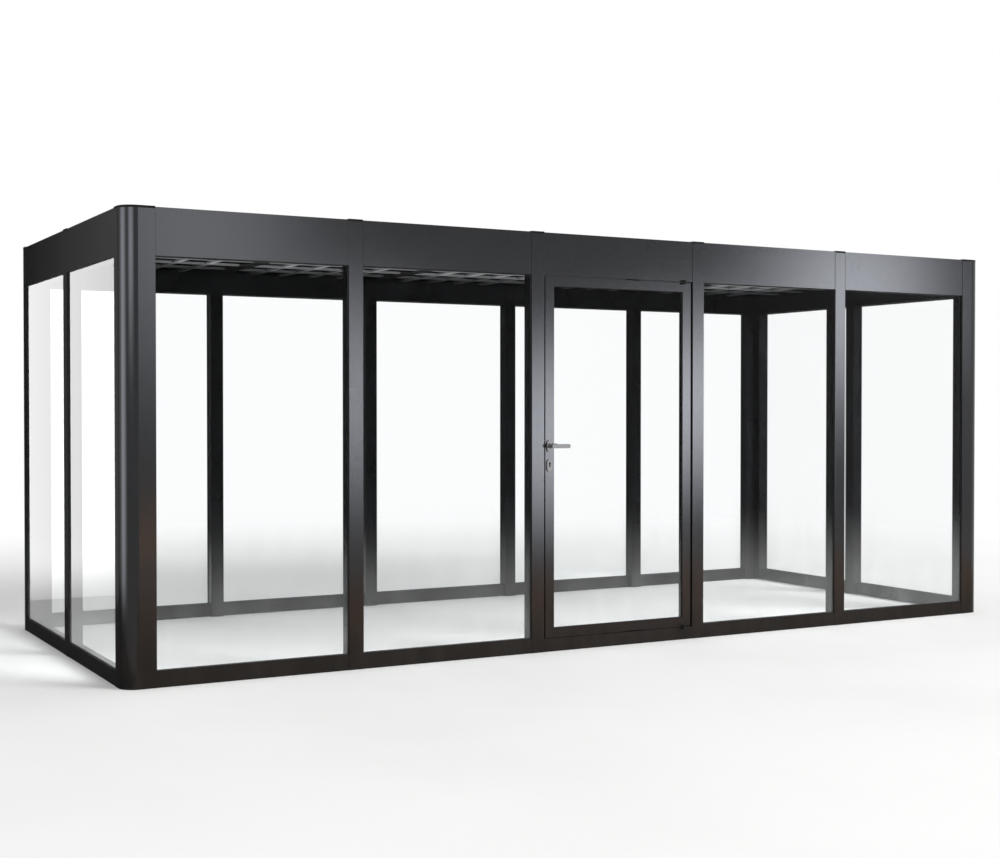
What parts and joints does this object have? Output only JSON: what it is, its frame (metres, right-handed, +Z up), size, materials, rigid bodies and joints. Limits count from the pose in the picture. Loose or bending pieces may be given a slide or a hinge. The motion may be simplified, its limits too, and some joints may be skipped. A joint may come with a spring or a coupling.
{
  "type": "greenhouse",
  "caption": "Flat-roofed glass greenhouse with dark metal posts, full-height glazed bays, a deep fascia with rounded corners and a pivoted glass door with a lever handle.",
  "frame": {"origin": "bottom centre of the overall box, on the ground, with the door lever counted in the depth", "axes": "+X along the length, to the right as seen from the door side; +Y into the greenhouse from the door side to the rear; +Z up"},
  "size_m": [5.876, 2.454, 2.4],
  "materials": {
    "frame": "satin anthracite powder coat on extruded aluminium",
    "cap": "matte black moulded plastic",
    "clear_glass": "clear toughened glass",
    "roof_panel": "satin near-black coated sheet",
    "ceiling_bar": "satin pale grey coat",
    "hinge": "satin black coat",
    "steel": "fine brushed stainless steel"
  },
  "bodies": {
    "frame": {"corner_post_front_left": "frame", "corner_post_front_right": "frame", "corner_post_rear_left": "frame", "corner_post_rear_right": "frame", "front_post_1": "frame", "front_post_2": "frame", "front_post_3": "frame", "front_post_4": "frame", "rear_post_1": "frame", "rear_post_2": "frame", "rear_post_3": "frame", "rear_post_4": "frame", "left_post": "frame", "right_post": "frame", "front_base_rails": "frame", "rear_base_rails": "frame", "left_base_rails": "frame", "right_base_rails": "frame", "door_sill": "frame", "front_fascia": "frame", "rear_fascia": "frame", "left_fascia": "frame", "right_fascia": "frame", "corner_caps": "cap", "post_caps": "cap", "front_glass": "clear_glass", "rear_glass": "clear_glass", "left_glass": "clear_glass", "right_glass": "clear_glass", "rafters": "frame", "roof_panels": "roof_panel", "ceiling_bars": "ceiling_bar", "frame_hinge_leaves": "hinge"},
    "door": {"door_lock_stile": "frame", "door_hinge_stile": "frame", "door_top_rail": "frame", "door_bottom_rail": "frame", "door_glass": "clear_glass", "door_hinge_leaves": "hinge", "lever_roses": "steel", "key_roses": "steel"},
    "handle": {"lever": "steel"}
  },
  "joints": [
    {"name": "door_swing", "type": "hinge", "parent": "frame", "child": "door", "pos_m": [0.45, -1.188, 1], "axis": [0, 0, 1], "range_deg": [0, 100]},
    {"name": "lever_turn", "type": "hinge", "parent": "door", "child": "handle", "pos_m": [-0.488, -1.151, 1.178], "axis": [0, 1, 0], "range_deg": [0, 40], "stiffness_Nm_per_rad": 1.5}
  ]
}
